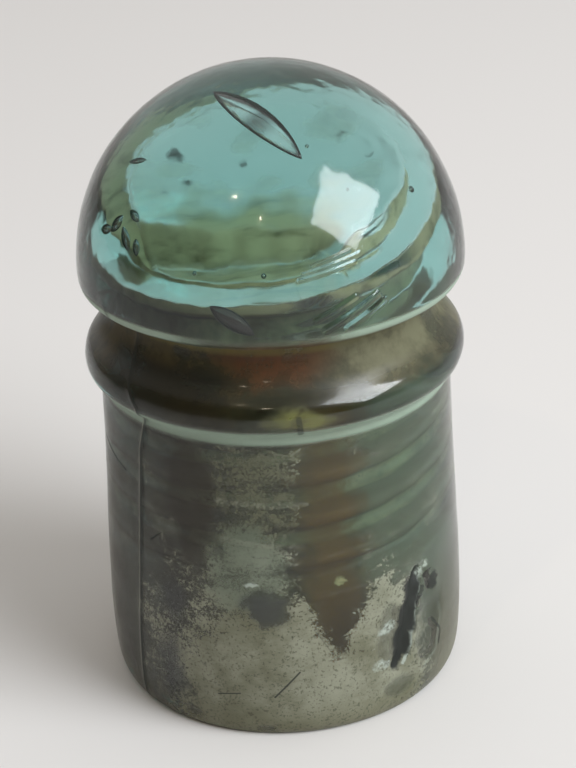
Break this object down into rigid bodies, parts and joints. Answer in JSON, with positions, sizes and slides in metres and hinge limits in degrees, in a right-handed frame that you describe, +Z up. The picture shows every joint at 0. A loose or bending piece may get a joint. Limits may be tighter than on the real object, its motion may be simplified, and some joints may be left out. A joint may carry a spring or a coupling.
{
  "type": "fence insulator",
  "caption": "Domed pressed-glass fence insulator with a wire groove round it and a threaded blind pinhole that screws onto a pin.",
  "frame": {"origin": "centre of the flat base rim that the insulator stands on, on the axis of the pinhole", "axes": "+Z up along the axis of the pinhole and the dome; X and Y are free, because the form is round"},
  "size_m": [0.0532, 0.0532, 0.089],
  "materials": {
    "aqua_glass": "clear blue-green pressed glass, weathered and dirt-filmed on the skirt"
  },
  "bodies": {
    "root": {"glass_body": "aqua_glass"}
  },
  "joints": []
}
